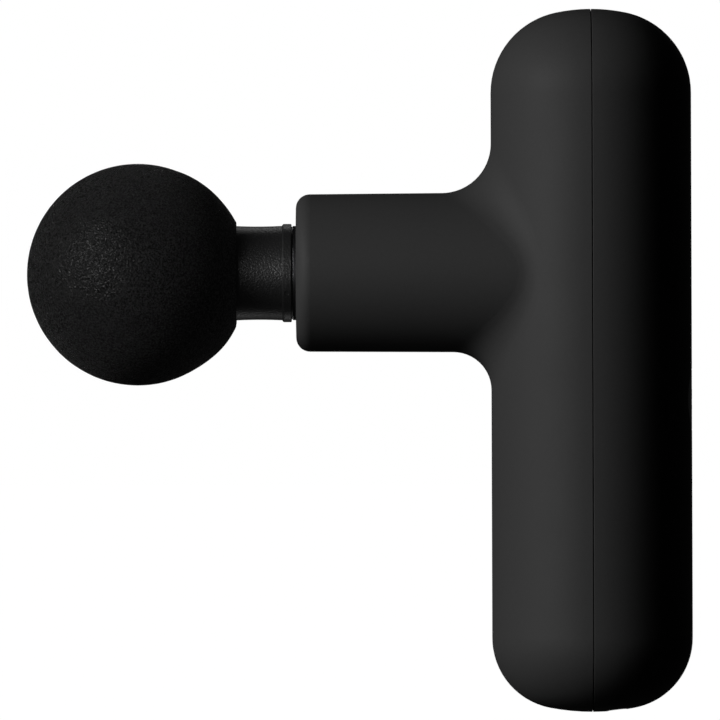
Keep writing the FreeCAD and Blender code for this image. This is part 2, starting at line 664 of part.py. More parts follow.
def head_stem():
    """One moulding: core in the ball, waisted neck, collar and spigot with its O-ring groove."""
    seat_x, core = stem_outline(0.0)
    start, steps = core[0], core[1:]
    waist_x = (seat_x + COLLAR_FRONT_X) / 2
    shoulder_x = PLUNGER_FRONT_X - 0.03
    groove_front, groove_back = O_RING_X - 0.7, O_RING_X + 0.7
    steps += [((waist_x, NECK_WAIST_R), (COLLAR_FRONT_X, NECK_R)),
              (COLLAR_FRONT_X, COLLAR_R - 0.25), (COLLAR_FRONT_X + 0.25, COLLAR_R),
              (COLLAR_REAR_X - 0.15, COLLAR_R), (COLLAR_REAR_X, COLLAR_R - 0.15),
              (COLLAR_REAR_X, SHOULDER_R), (shoulder_x, SHOULDER_R), (shoulder_x, SPIGOT_R),
              (groove_front, SPIGOT_R), (groove_front, 5.0), (groove_back, 5.0),
              (groove_back, SPIGOT_R), (SPIGOT_END_X - 0.8, SPIGOT_R),
              (SPIGOT_END_X, SPIGOT_R - 0.8), (SPIGOT_END_X, SPIGOT_BORE_R),
              (SPIGOT_BORE_X, SPIGOT_BORE_R), (SPIGOT_BORE_X, 0)]
    solid = turned_about_barrel(start, steps)
    mark_drop, mark_r, mark_depth = 4.0, 0.5, 0.12
    way = V(0, -math.sqrt(COLLAR_R ** 2 - mark_drop ** 2), -mark_drop).normalize()
    mark_x = (COLLAR_FRONT_X + COLLAR_REAR_X) / 2
    base = V(mark_x, 0, AXIS_Z) + way * (COLLAR_R - mark_depth)
    return solid.cut(Part.makeCylinder(mark_r, 2.0, base, way))


def foam_ball():
    ball = Part.makeSphere(BALL_R, V(BALL_X, 0, AXIS_Z - BALL_DROP), X, -90, 90, 360)
    seat_x, core = stem_outline(0.02)
    start, steps = core[0], core[1:]
    steps += [(-60.0, NECK_R + 0.02), (-60.0, 0)]
    return ball.cut(turned_about_barrel(start, steps))


def stem_o_ring():
    return Part.makeTorus(5.58, O_RING_WIRE, V(O_RING_X, 0, AXIS_Z), X)


# ---- battery --------------------------------------------------------------------------------
def battery_cells():
    cells = []
    for side in (-1, 1):
        can = cyl_z(CELL_R, CELL_LOW, CELL_TOP, CELL_X, side * CELL_Y)
        rims = [e for e in can.Edges if e.Length > 40 and abs(e.Length - 2 * math.pi * CELL_R) < 1]
        cells.append(can.makeFillet(0.6, rims))
    return Part.makeCompound(cells)


def battery_tabs():
    t = 0.2
    tops = [block(CELL_X - 3, CELL_X + 3, s * CELL_Y - 3.5, s * CELL_Y + 3.5, CELL_TOP,
                  CELL_TOP + t) for s in (-1, 1)]
    bridge = block(CELL_X - 3, CELL_X + 3, -CELL_Y - 3.5, CELL_Y + 3.5, CELL_LOW - t, CELL_LOW)
    return Part.makeCompound(tops + [bridge])


def battery_cradle():
    low, high = CELL_LOW - 2.0, CELL_TOP + 2.0
    solid = block(-6.0, 3.0, -14.6, 14.6, low, high)
    for side in (-1, 1):
        solid = solid.cut(cyl_z(CELL_R + 0.1, CELL_LOW - 0.25, CELL_TOP + 0.25, CELL_X,
                                side * CELL_Y))
    solid = solid.cut(block(-7, 4, -11, 11, CELL_TOP - 0.1, high + 1))
    solid = solid.cut(block(-8.2, -1.8, -11, 11, CELL_LOW - 0.25, CELL_LOW + 0.1))
    return solid.cut(block(-1.0, 4, -3.0, 3.0, -20, 12))


def battery_pads():
    cavity = handle_solid(WALL + 0.05)
    room = cyl_z(CELL_R + 0.02, -60, 60, CELL_X, CELL_Y)
    pad = block(-18, -8, 4.0, 12.0, -20, 12).common(cavity).cut(room)
    pad = pad.common(block(-18, -9.5, 4, 12, -20, 12))
    return Part.makeCompound([pad, mirrored_y(pad)])


# ---- electronics ----------------------------------------------------------------------------
BOARD_TOP_Z = 30.0


def main_board():
    board = block(BOARD_X, BOARD_BACK_X, -13.2, 13.2, -29.0, BOARD_TOP_Z)
    tongue = block(BOARD_X, BOARD_BACK_X, -6.0, 6.0, -36.3, -28.0)
    board = fuse(board, tongue)
    for y, z in board_screw_places():
        board = board.cut(cyl_x(1.1, BOARD_X - 1, BOARD_BACK_X + 1, y, z))
    return board


def chip(y, z, width, height, depth):
    """A part on the back face of the board, centred at y and z."""
    return block(BOARD_BACK_X, BOARD_BACK_X + depth, y - width / 2, y + width / 2,
                 z - height / 2, z + height / 2)


def logic_chips():
    return Part.makeCompound([chip(-7.5, -8, 7, 7, 1.0), chip(7.5, -7, 5, 5, 0.9),
                              chip(7.5, -15, 4, 4, 1.8), chip(-7.0, -17, 5, 4, 1.2)])


def power_mosfets():
    return Part.makeCompound(
        [chip(side * y, z, 3.3, 3.3, 0.9) for side in (-1, 1) for y in (5.6, 9.8)
         for z in (3.0, 8.0)])


def small_parts():
    """Resistors and ceramic capacitors in two rows."""
    return Part.makeCompound(
        [chip(y, -21.5 - 1.6 * i, 1.6, 0.8, 0.6) for y in (-4.3, 4.3) for i in range(4)])


def bulk_capacitors():
    cans = []
    for side in (-1, 1):
        can = cyl_x(2.9, BOARD_BACK_X, BOARD_BACK_X + 5.4, side * 8.9, 14.8)
        rim = [e for e in can.Edges if e.CenterOfMass.x > BOARD_BACK_X + 5 and e.Length > 15]
        cans.append(can.makeFillet(0.4, rim))
    return Part.makeCompound(cans)


PORT_MOUTH_Z, PORT_BACK_Z = FOOT_Z + 1.0, FOOT_Z + 8.4


def charge_port():
    shell = port_slot(PORT_HALF_W, PORT_HALF_T, PORT_MOUTH_Z, PORT_BACK_Z)
    return shell.cut(port_slot(PORT_HALF_W - 0.3, PORT_HALF_T - 0.3, -45, PORT_BACK_Z - 0.4))


def charge_port_tongue():
    return block(PORT_X - 0.35, PORT_X + 0.35, -3.3, 3.3, PORT_MOUTH_Z + 0.7, PORT_BACK_Z - 0.4)


SWITCH_TOP_X = 11.6
SWITCH_TRAVEL = 0.5


def button_switch():
    body = block(BOARD_BACK_X, SWITCH_TOP_X, -3, 3, BUTTON_Z - 3, BUTTON_Z + 3)
    return body.cut(cyl_x(1.75, 9.0, 14, 0, BUTTON_Z))


def switch_plunger():
    return cyl_x(1.7, 9.0 + SWITCH_TRAVEL + 0.1, 13.4, 0, BUTTON_Z)


def power_button():
    """Cap flush with the handle, with its flange and stem."""
    outside = cyl_z(HANDLE_R - BUTTON_SUNK, BUTTON_Z - 10, BUTTON_Z + 10)
    cap = cyl_x(BUTTON_R, 15.3, 22, 0, BUTTON_Z).common(outside)
    flange = cyl_x(7.1, 15.3, 16.2, 0, BUTTON_Z)
    stem = cyl_x(2.0, 13.4, 15.3, 0, BUTTON_Z)
    button = fuse(cap, flange, stem)
    return button.makeFillet(BUTTON_ROUND_R, rim_edges(button, BUTTON_R, BUTTON_Z, 18, 21))


def status_leds():
    return Part.makeCompound([chip(0, z, 1.6, 1.0, 0.7) for z in LED_Z])


def light_pipe():
    """Four clear pins on one bar, flush with the handle."""
    outside = cyl_z(HANDLE_R - 0.02, -20, 20)
    pins = [cyl_x(0.9, 9.2, 22, 0, z).common(outside) for z in LED_Z]
    bar = block(15.4, 17.6, -1.8, 1.8, LED_Z[-1] - 2.5, LED_Z[0] + 2.5)
    return fuse(bar, *pins)


def board_screws():
    screws = []
    for y, z in board_screw_places():
        head = cyl_x(1.9, BOARD_X - 1.4, BOARD_X, y, z)
        head = head.cut(cyl_x(0.8, BOARD_X - 2, BOARD_X - 0.6, y, z))
        screws.append(fuse(head, cyl_x(0.95, BOARD_X, 13.0, y, z)))
    return Part.makeCompound(screws)


def battery_connector():
    return block(3.3, BOARD_X, -3.0, 3.0, 23.4, 29.0)


def motor_connector():
    return block(BOARD_BACK_X, BOARD_BACK_X + 3.4, -2.7, 2.7, 26.4, 29.6)


def battery_leads():
    leads = []
    for side in (-1, 1):
        points = [V(CELL_X, side * 7.0, CELL_TOP + 0.2), V(CELL_X, side * 7.0, 26.2),
                  V(-0.5, side * 1.6, 26.2), V(3.3, side * 1.6, 26.2)]
        leads.append(wire_tube(points, 0.6))
    return Part.makeCompound(leads)


def motor_leads():
    leads = []
    for y in (-1.4, 0.0, 1.4):
        points = [V(8.0, y, 65.45), V(10.6, y, LEAD_EXIT_Z), V(15.9, y, LEAD_EXIT_Z),
                  V(15.9, y, 36.5), V(12.9, y, 31.9), V(9.8, y, 31.9), V(9.8, y, 29.6)]
        leads.append(wire_tube(points, 0.42))
    return Part.makeCompound(leads)


# ---- all nodes ------------------------------------------------------------------------------
def all_nodes():
    outside, inside = housing_outside(), housing_inside()
    return {
        "front_shell": front_shell(outside, inside),
        "rear_shell": rear_shell(outside, inside),
        "charge_port_bezel": port_bezel(),
        "nose_wiper": nose_wiper(),
        "guide_sleeve": guide_sleeve(),
        "front_guide_bush": guide_bush(-55.0, -47.0),
        "rear_guide_bush": guide_bush(-40.0, -30.0),
        "barrel_damper_rings": barrel_damper_rings(),
        "drive_frame": drive_frame(),
        "lower_frame_damper": frame_damper(34.0, 37.5),
        "upper_frame_damper": frame_damper(57.5, 61.0),
        "plunger_tube": plunger_tube(),
        "yoke": yoke(),
        "yoke_cross_pin": cross_pin(),
        "crank": crank(),
        "counterweight": counterweight(),
        "counterweight_screws": counterweight_screws(),
        "crank_grub_screw": grub_screw(),
        "roller_outer_ring": bearing_ring(4.15, ROLLER_R),
        "roller_inner_ring": bearing_ring(PIN_R + SNUG, 3.35),
        "roller_balls": roller_balls(),
        "roller_washer": roller_washer(),
        "roller_screw": roller_screw(),
        "motor_base": motor_base(),
        "motor_bearing_lower": motor_bearing(FRAME_TOP_Z - 1.8, FRAME_TOP_Z + 1.2),
        "motor_bearing_upper": motor_bearing(TUBE_TOP - 3.0, TUBE_TOP),
        "motor_screws": motor_screws(),
        "stator_core": stator_core(),
        "stator_coils": stator_coils(),
        "rotor_bell": rotor_bell(),
        "rotor_magnets": rotor_magnets(),
        "motor_shaft": motor_shaft(),
        "shaft_clip": shaft_clip(),
        "head_stem": head_stem(),
        "foam_ball": foam_ball(),
        "stem_o_ring": stem_o_ring(),
        "battery_cells": battery_cells(),
        "battery_tabs": battery_tabs(),
        "battery_cradle": battery_cradle(),
        "battery_pads": battery_pads(),
        "main_board": main_board(),
        "logic_chips": logic_chips(),
        "power_mosfets": power_mosfets(),
        "small_board_parts": small_parts(),
        "bulk_capacitors": bulk_capacitors(),
        "charge_port": charge_port(),
        "charge_port_tongue": charge_port_tongue(),
        "button_switch": button_switch(),
        "switch_plunger": switch_plunger(),
        "power_button": power_button(),
        "status_leds": status_leds(),
        "light_pipe": light_pipe(),
        "board_screws": board_screws(),
        "battery_connector": battery_connector(),
        "motor_connector": motor_connector(),
        "battery_leads": battery_leads(),
        "motor_leads": motor_leads(),
    }


def main():
    os.makedirs("parts", exist_ok=True)
    for name, shape in all_nodes().items():
        solids = shape.Solids
        valid = all(s.isValid() and s.Volume > 0 for s in solids)
        print(f"{name:24s} solids {len(solids):2d} volume {shape.Volume:10.1f} valid {valid}")
        shape.exportStep(f"parts/{name}.step")


main()
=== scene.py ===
"""Looks of the pocket massage gun: black soft-touch shells, a grained stem and a foam ball.

Everything is in metres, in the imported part's own frame: +Z up the handle, -X towards the ball.
"""

import json
import math

import bmesh
import bpy
from mathutils import Matrix, Vector, noise


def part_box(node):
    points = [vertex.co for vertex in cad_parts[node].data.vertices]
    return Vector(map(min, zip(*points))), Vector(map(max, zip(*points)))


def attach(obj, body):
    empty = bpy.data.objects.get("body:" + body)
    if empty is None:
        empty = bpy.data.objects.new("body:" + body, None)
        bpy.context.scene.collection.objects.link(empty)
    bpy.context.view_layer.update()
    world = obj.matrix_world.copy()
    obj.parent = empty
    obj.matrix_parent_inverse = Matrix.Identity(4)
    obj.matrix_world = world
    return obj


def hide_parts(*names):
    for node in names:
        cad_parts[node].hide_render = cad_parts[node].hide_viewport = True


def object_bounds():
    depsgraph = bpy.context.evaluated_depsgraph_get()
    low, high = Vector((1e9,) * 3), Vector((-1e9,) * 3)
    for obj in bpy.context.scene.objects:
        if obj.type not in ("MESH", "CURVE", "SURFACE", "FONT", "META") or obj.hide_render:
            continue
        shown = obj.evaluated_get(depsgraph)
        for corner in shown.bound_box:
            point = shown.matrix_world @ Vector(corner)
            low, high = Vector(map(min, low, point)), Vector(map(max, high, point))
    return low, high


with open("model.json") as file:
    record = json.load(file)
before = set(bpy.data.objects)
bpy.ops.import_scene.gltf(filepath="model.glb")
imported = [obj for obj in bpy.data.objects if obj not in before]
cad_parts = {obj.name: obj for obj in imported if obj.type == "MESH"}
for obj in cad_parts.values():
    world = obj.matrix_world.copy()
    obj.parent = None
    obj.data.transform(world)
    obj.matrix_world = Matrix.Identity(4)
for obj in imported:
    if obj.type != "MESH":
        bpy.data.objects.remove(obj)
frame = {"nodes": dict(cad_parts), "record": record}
cad_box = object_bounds()

MM = 0.001

# ---- camera, lights and floor -----------------------------------------------------------------
LENS_MM, SENSOR_MM = 800.0, 36.0
FRAME_MARGIN = 1.0243           # the picture is this much wider than the object is tall
CAMERA_ROLL = math.radians(-0.19)
CAMERA_AIM = Vector((0.10, 0.0, 0.22)) * MM     # from the object's middle to what the camera looks at

# each light: degrees round the object from the camera, degrees above the level, size, power in watts
KEY = (-55, 18, 0.45, 9.6)
FRONT = (-35, 7, 0.25, 4.0)
BACK = (168, 8, 0.3, 12.0)
TOP = (180, 40, 0.3, 0.2)
UNDER = (180, -50, 0.05, 0.006)
FILL = (40, 12, 0.6, 3.1)
LIGHT_DISTANCE, UNDER_DISTANCE = 1.1, 0.2
REFLECTED_GREY = 0.02           # how bright the surroundings look in reflections

FLOOR_SIZE = 40.0
FLOOR_DROP = 110 * MM           # the floor lies this far under the handle's foot
FLOOR_COLOR, FLOOR_ROUGHNESS = (0.86, 0.86, 0.86), 0.9
GLOW_NEAR, GLOW_FAR = 0.25, 0.9         # the floor's own light grows between these distances
GLOW_LOW, GLOW_HIGH = 0.55, 1.0

# ---- foam ball --------------------------------------------------------------------------------
NECK_R = 9.42 * MM
HUB_R = 7.95 * MM
FOAM_GAP = 0.02 * MM            # room between the foam and the stem
BALL_LIP_R = 0.55 * MM
SEAT_DEPTH = 0.62 * MM          # the foam meets the neck's step this far inside its round skin
DISC_FRONT, DISC_BACK = 6.0 * MM, 8.0 * MM      # the groove for the stem's disc, from its core's end
DISC_R = 11.02 * MM
BALL_SEGMENTS, BALL_STEPS, LIP_STEPS = 288, 150, 8
BALL_SETTLE = 12 * MM           # over this run from its mouth the ball moves off the stem's axis
BULGE_WAY, BULGE_SPREAD = Vector((0.77, 0.0, -0.64)), math.radians(15)
BULGE = 0.36 * MM
FOAM_UNEVEN = 0.05 * MM
UNEVEN_MEAN, UNEVEN_SWING = 0.8, 0.5    # shares of FOAM_UNEVEN: the skin's mean depth and its variation
LARGE_LUMP, SMALL_LUMP, SMALL_SHARE = 5 * MM, 1.4 * MM, 0.6

# ---- charging port's contacts -----------------------------------------------------------------
CONTACTS = 12
CONTACT_WIDTH, CONTACT_PLATE = 0.25 * MM, 0.03 * MM
CONTACT_FOOT, CONTACT_TOP = 0.25 * MM, 1.2 * MM     # from the tongue's lower and upper ends
CONTACT_MARGIN = 0.6            # the tongue is this many pitches wider than the row of contacts
CONTACT_BEVEL = 0.04 * MM
BLOCK_FACES = ((0, 1, 2, 3), (4, 5, 6, 7), (0, 1, 5, 4), (1, 2, 6, 5), (2, 3, 7, 6), (3, 0, 4, 7))

# ---- power symbol -----------------------------------------------------------------------------
SYMBOL_R, SYMBOL_HALF_LINE = 1.75 * MM, 0.17 * MM
INK = 0.02 * MM                 # half the ink's thickness
RING_OPEN_HALF = math.radians(34)
RING_STEPS, BAR_STEPS = 60, 12
BAR_LOW, BAR_HIGH = 0.3 * MM, 2.1 * MM
RAY_START = 0.1                 # well outside the handle

WAVE_PERIOD = 0.314             # a wave texture at scale 1 repeats after this distance


# ---- materials --------------------------------------------------------------------------------
class Surface:
    """One Principled material whose textures run on object coordinates, in metres."""

    def __init__(self, name, color, roughness, metallic=0.0):
        self.material = bpy.data.materials.new(name)
        self.material.use_nodes = True
        self.tree = self.material.node_tree
        self.shader = self.tree.nodes["Principled BSDF"]
        self.place = self.tree.nodes.new("ShaderNodeTexCoord").outputs["Object"]
        self.color = (*color, 1.0)
        self.normal = None
        self.set("Base Color", self.color)
        self.set("Roughness", roughness)
        self.set("Metallic", metallic)

    def set(self, socket, value):
        self.shader.inputs[socket].default_value = value

    def node(self, kind, inputs, **settings):
        """A new node: sockets given as inputs are linked, and other values are set."""
        made = self.tree.nodes.new(kind)
        for key, value in settings.items():
            setattr(made, key, value)
        for socket, value in inputs.items():
            if isinstance(value, bpy.types.NodeSocket):
                self.tree.links.new(value, made.inputs[socket])
            else:
                made.inputs[socket].default_value = value
        return made

    def stretched(self, x, y, z):
        """The place with each axis multiplied, so that a texture's grain runs one way."""
        made = self.node("ShaderNodeVectorMath", {0: self.place, 1: (x, y, z)}, operation="MULTIPLY")
        return made.outputs[0]

    def clouds(self, size, detail=2.0, place=None):
        """Soft noise with lumps about size metres across."""
        inputs = {"Vector": place or self.place, "Scale": 1 / size, "Detail": detail}
        return self.node("ShaderNodeTexNoise", inputs).outputs["Fac"]

    def bands(self, size, axis, distortion=0.0):
        """Even bands, one every size metres along an axis."""
        inputs = {"Vector": self.place, "Scale": WAVE_PERIOD / size, "Distortion": distortion}
        return self.node("ShaderNodeTexWave", inputs, bands_direction=axis).outputs["Fac"]

    def between(self, value, low, high, start=0.0, end=1.0):
        """The value's stretch from low to high, spread over start to end."""
        inputs = {"Value": value, "From Min": low, "From Max": high, "To Min": start, "To Max": end}
        return self.node("ShaderNodeMapRange", inputs).outputs["Result"]

    def tint(self, mask, color):
        """Mixes another colour in where the mask is high."""
        made = self.node("ShaderNodeMix", {0: mask, 6: self.color, 7: (*color, 1.0)}, data_type="RGBA")
        self.tree.links.new(made.outputs[2], self.shader.inputs["Base Color"])

    def polish(self, mask, low, high):
        """Roughness from low to high as the mask goes from 0 to 1."""
        value = self.between(mask, 0.0, 1.0, low, high)
        self.tree.links.new(value, self.shader.inputs["Roughness"])

    def relief(self, height, depth):
        """Raises the surface by up to depth metres; each relief lies on the one before."""
        inputs = {"Height": height, "Distance": depth}
        if self.normal:
            inputs["Normal"] = self.normal
        self.normal = self.node("ShaderNodeBump", inputs).outputs["Normal"]
        self.tree.links.new(self.normal, self.shader.inputs["Normal"])


def shade(color, factor):
    """The colour made darker, or brighter where the factor is above 1."""
    return tuple(channel * factor for channel in color)


def soft_touch_shell():
    """Black moulded plastic with a satin, very fine grain and faint handling marks."""
    base = (0.0440, 0.0440, 0.0440)
    made = Surface("soft_touch_black", base, 0.62)
    made.set("Specular IOR Level", 0.11)
    made.tint(made.between(made.clouds(0.6 * MM, 2.0), 0.35, 0.7), shade(base, 1.05))
    made.polish(made.between(made.clouds(14 * MM, 4.0), 0.3, 0.7), 0.59, 0.65)
    made.relief(made.clouds(1.6 * MM, 2.0), 0.005 * MM)
    made.relief(made.clouds(0.3 * MM, 1.0), 0.002 * MM)
    return made.material


def grained_stem():
    """Black moulded plastic with a coarse spark-eroded grain that glints."""
    base = (0.0085, 0.0085, 0.0087)
    made = Surface("spark_grained_black", base, 0.36)
    made.set("Specular IOR Level", 0.9)
    grain = made.clouds(0.36 * MM, 1.0)
    made.tint(made.between(grain, 0.45, 0.65), shade(base, 2.2))
    made.polish(made.between(grain, 0.35, 0.65), 0.42, 0.28)
    made.relief(grain, 0.07 * MM)
    return made.material


def ball_foam():
    """Closed-cell foam skin: matt, with scattered grains that catch the light."""
    base = (0.0026, 0.0026, 0.0026)
    made = Surface("ball_foam_skin", base, 0.50)
    made.set("Specular IOR Level", 0.05)
    made.set("Diffuse Roughness", 1.0)
    made.set("Sheen Weight", 0.008)
    made.set("Sheen Roughness", 0.5)
    grain = made.clouds(0.34 * MM, 2.0)
    made.tint(made.between(grain, 0.42, 0.61), shade(base, 4.9))
    made.polish(made.between(made.clouds(0.46 * MM, 0.0), 0.50, 0.53), 0.80, 0.155)
    made.relief(made.clouds(0.38 * MM, 0.0), 0.205 * MM)
    return made.material


def moulded(name, color, roughness, grain=0.25 * MM, depth=0.003 * MM):
    """Any other moulded plastic."""
    made = Surface(name, color, roughness)
    made.tint(made.between(made.clouds(4 * MM, 3.0), 0.35, 0.7), shade(color, 0.88))
    made.polish(made.clouds(3 * MM, 3.0), roughness - 0.06, roughness + 0.06)
    made.relief(made.clouds(grain, 2.0), depth)
    return made.material


def clear_light_pipe():
    """Frosted clear plastic that carries the status lights to the surface."""
    color = (0.62, 0.64, 0.67)
    made = Surface("frosted_clear", color, 0.36)
    made.set("Transmission Weight", 0.35)
    made.set("IOR", 1.49)
    made.tint(made.between(made.clouds(0.8 * MM, 2.0), 0.4, 0.7), shade(color, 0.85))
    made.relief(made.clouds(0.15 * MM, 1.0), 0.002 * MM)
    return made.material


def rubber(name, color, roughness=0.72):
    """Moulded rubber with a dusty, uneven skin."""
    made = Surface(name, color, roughness)
    made.tint(made.between(made.clouds(2 * MM, 4.0), 0.4, 0.75), shade(color, 1.6))
    made.polish(made.clouds(1.5 * MM, 3.0), roughness - 0.08, roughness + 0.08)
    made.relief(made.clouds(0.2 * MM, 3.0), 0.006 * MM)
    return made.material


def turned_metal(name, color, roughness, stretch=(1, 12, 12), depth=0.0015 * MM):
    """Machined metal with fine tool marks across the stretched axes."""
    made = Surface(name, color, roughness, 1.0)
    marks = made.clouds(0.9 * MM, 4.0, made.stretched(*stretch))
    made.tint(made.between(made.clouds(5 * MM, 3.0), 0.35, 0.7), shade(color, 0.82))
    made.polish(marks, roughness - 0.08, roughness + 0.10)
    made.relief(marks, depth)
    return made.material


def windings():
    """Enamelled copper wire, wound in even turns, with painted shade darkening the grooves between them.
    """
    color = (0.55, 0.19, 0.07)
    made = Surface("enamelled_copper", color, 0.28, 1.0)
    turns = made.bands(0.42 * MM, "Z", 0.3)
    # painted shade: the colour is darkened where the turns are lowest, in the grooves between the wires
    made.tint(made.between(turns, 0.0, 0.35, 1.0, 0.0), shade(color, 0.35))
    made.relief(turns, 0.10 * MM)
    return made.material


def laminations():
    """Stacked electrical steel sheets."""
    color = (0.30, 0.30, 0.32)
    made = Surface("stacked_laminations", color, 0.42, 0.9)
    sheets = made.bands(0.35 * MM, "Z")
    made.tint(made.between(sheets, 0.0, 0.25, 1.0, 0.0), shade(color, 0.3))
    made.relief(sheets, 0.02 * MM)
    return made.material


def cell_sleeve():
    """Shrink sleeve round a cell, slightly rippled."""
    color = (0.02, 0.075, 0.19)
    made = Surface("shrink_sleeve", color, 0.30)
    made.set("Coat Weight", 0.4)
    made.tint(made.between(made.clouds(6 * MM, 2.0), 0.4, 0.7), shade(color, 0.75))
    made.relief(made.clouds(2.2 * MM, 2.0, made.stretched(1, 1, 0.15)), 0.03 * MM)
    return made.material


def board_laminate():
    """Green solder mask over copper tracks and glass weave."""
    color = (0.006, 0.075, 0.028)
    made = Surface("solder_mask", color, 0.28)
    tracks = made.between(made.bands(1.3 * MM, "Y", 6.0), 0.72, 0.80)
    made.tint(tracks, (0.02, 0.16, 0.06))
    made.relief(tracks, 0.03 * MM)
    made.relief(made.bands(0.5 * MM, "Z"), 0.004 * MM)
    return made.material


def printed_ink():
    """Pale grey ink for the power symbol, slightly patchy."""
    color = (0.52, 0.52, 0.53)
    made = Surface("pad_printed_ink", color, 0.55)
    made.tint(made.between(made.clouds(0.5 * MM, 3.0), 0.45, 0.7), shade(color, 0.86))
    made.relief(made.clouds(0.12 * MM, 2.0), 0.002 * MM)
    return made.material


def slot_materials():
    """One finished material for each of the record's material slots."""
    steel = (0.56, 0.56, 0.58)
    return {
        "shell_plastic": soft_touch_shell(),
        "stem_plastic": grained_stem(),
        "ball_foam": ball_foam(),
        "button_plastic": moulded("button_black", (0.018, 0.018, 0.0185), 0.40),
        "bezel_plastic": moulded("bezel_gloss_black", (0.012, 0.012, 0.012), 0.22),
        "clear_plastic": clear_light_pipe(),
        "black_rubber": rubber("black_rubber", (0.014, 0.014, 0.014)),
        "bush_polymer": moulded("bush_polymer", (0.62, 0.58, 0.48), 0.42),
        "black_anodised": turned_metal("black_anodised", (0.075, 0.075, 0.078), 0.40),
        "plain_aluminium": turned_metal("machined_aluminium", (0.72, 0.73, 0.75), 0.34),
        "plain_steel": turned_metal("machined_steel", steel, 0.32),
        "bearing_steel": turned_metal("ground_steel", (0.66, 0.66, 0.68), 0.16, depth=0.0005 * MM),
        "weight_brass": turned_metal("turned_brass", (0.72, 0.50, 0.20), 0.30),
        "winding_copper": windings(),
        "lamination_steel": laminations(),
        "magnet_nickel": turned_metal("nickel_plated_magnet", (0.63, 0.60, 0.55), 0.22),
        "cell_wrap": cell_sleeve(),
        "nickel_strip": turned_metal("nickel_strip", (0.66, 0.63, 0.58), 0.26),
        "cradle_plastic": moulded("cradle_dark_grey", (0.035, 0.035, 0.038), 0.55),
        "pad_foam": rubber("pad_foam", (0.022, 0.022, 0.024), 0.85),
        "board_laminate": board_laminate(),
        "chip_resin": moulded("chip_resin", (0.016, 0.016, 0.018), 0.48),
        "passive_ceramic": moulded("ceramic_parts", (0.26, 0.19, 0.12), 0.50),
        "capacitor_can": turned_metal("capacitor_can", (0.70, 0.71, 0.74), 0.24),
        "led_resin": moulded("led_resin", (0.75, 0.75, 0.66), 0.25),
        "connector_nylon": moulded("connector_nylon", (0.70, 0.68, 0.60), 0.45),
        "red_insulation": rubber("red_insulation", (0.33, 0.012, 0.012), 0.45),
        "blue_insulation": rubber("blue_insulation", (0.015, 0.05, 0.30), 0.45),
    }


def finish_cad_nodes(materials):
    """Gives each node of the part the material of its slot."""
    slots = {part["node"]: part["material_slot"] for part in frame["record"]["subparts"]}
    for name, node in frame["nodes"].items():
        node.data.materials.clear()
        node.data.materials.append(materials[slots[name]])


# ---- pieces -----------------------------------------------------------------------------------
def mesh_piece(name, points, faces, material, body, smooth=True):
    """A new piece in one material that rides on a body."""
    mesh = bpy.data.meshes.new(name)
    mesh.from_pydata(points, [], faces)
    mesh.validate()
    mesh.materials.append(material)
    mesh.polygons.foreach_set("use_smooth", [smooth] * len(mesh.polygons))
    piece = bpy.data.objects.new(name, mesh)
    bpy.context.scene.collection.objects.link(piece)
    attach(piece, body)
    return piece


def face_outwards(piece):
    """Turns every face's normal to the outside."""
    shape = bmesh.new()
    shape.from_mesh(piece.data)
    bmesh.ops.recalc_face_normals(shape, faces=shape.faces)
    shape.to_mesh(piece.data)
    shape.free()


def arc(centre, radius, start, end, steps):
    """Points (x, r) of an arc, angles in radians from +x towards +r."""
    turns = [start + (end - start) * i / steps for i in range(steps + 1)]
    return [(centre[0] + radius * math.cos(t), centre[1] + radius * math.sin(t)) for t in turns]


def ball_profile(radius):
    """The ball's half section, as (x, r) from its centre: skin, rolled lip, then the seat on the stem."""
    lip_r = NECK_R + FOAM_GAP + BALL_LIP_R
    lip_x = math.sqrt((radius - BALL_LIP_R) ** 2 - lip_r ** 2)
    meet = math.atan2(lip_r, lip_x)
    skin = arc((0, 0), radius, math.pi, meet, BALL_STEPS)
    lip = arc((lip_x, lip_r), BALL_LIP_R, meet, -math.pi / 2, LIP_STEPS)[1:]
    stem_low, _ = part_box("head_stem")
    ball_low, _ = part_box("foam_ball")
    centre_x = ball_low.x + radius
    hub_end = stem_low.x - FOAM_GAP - centre_x
    seat = math.sqrt(radius ** 2 - NECK_R ** 2) - SEAT_DEPTH
    disc_front, disc_back = hub_end + DISC_FRONT, hub_end + DISC_BACK
    hub_r = HUB_R + FOAM_GAP
    inside = [(seat, lip_r - BALL_LIP_R), (seat, hub_r), (disc_back, hub_r), (disc_back, DISC_R),
              (disc_front, DISC_R), (disc_front, hub_r), (hub_end, hub_r), (hub_end, 0.0)]
    return skin + lip + inside, len(skin)


def foam_skin(point, radius):
    """A point of the ball's skin, moved by the foam's slight unevenness and its swelling by the neck."""
    lumps = noise.noise(point / LARGE_LUMP) + SMALL_SHARE * noise.noise(point / SMALL_LUMP)
    swell = BULGE * math.exp(-(point.angle(BULGE_WAY) / BULGE_SPREAD) ** 2)
    return point * (1 + (swell - FOAM_UNEVEN * (UNEVEN_MEAN + UNEVEN_SWING * lumps)) / radius)


def ball_points(profile, skin_count, radius, centre, drop):
    """Rings round the stem's axis, front to back, then the points that close the front and the back."""
    mouth_x = profile[skin_count - 1][0]
    points = []
    for i, (x, r) in enumerate(profile[1:-1], start=1):
        on_skin = i < skin_count - 1
        settled = min(1.0, max(0.0, (mouth_x - x) / BALL_SETTLE)) ** 2 if on_skin else 0.0
        for j in range(BALL_SEGMENTS):
            turn = 2 * math.pi * j / BALL_SEGMENTS
            point = Vector((x, r * math.cos(turn), r * math.sin(turn)))
            if on_skin:
                point = foam_skin(point, radius)
            points.append(centre + point + drop * settled)
    points.append(centre + drop + Vector((profile[0][0] + UNEVEN_MEAN * FOAM_UNEVEN, 0, 0)))
    points.append(centre + Vector((profile[-1][0], 0, 0)))
    return points


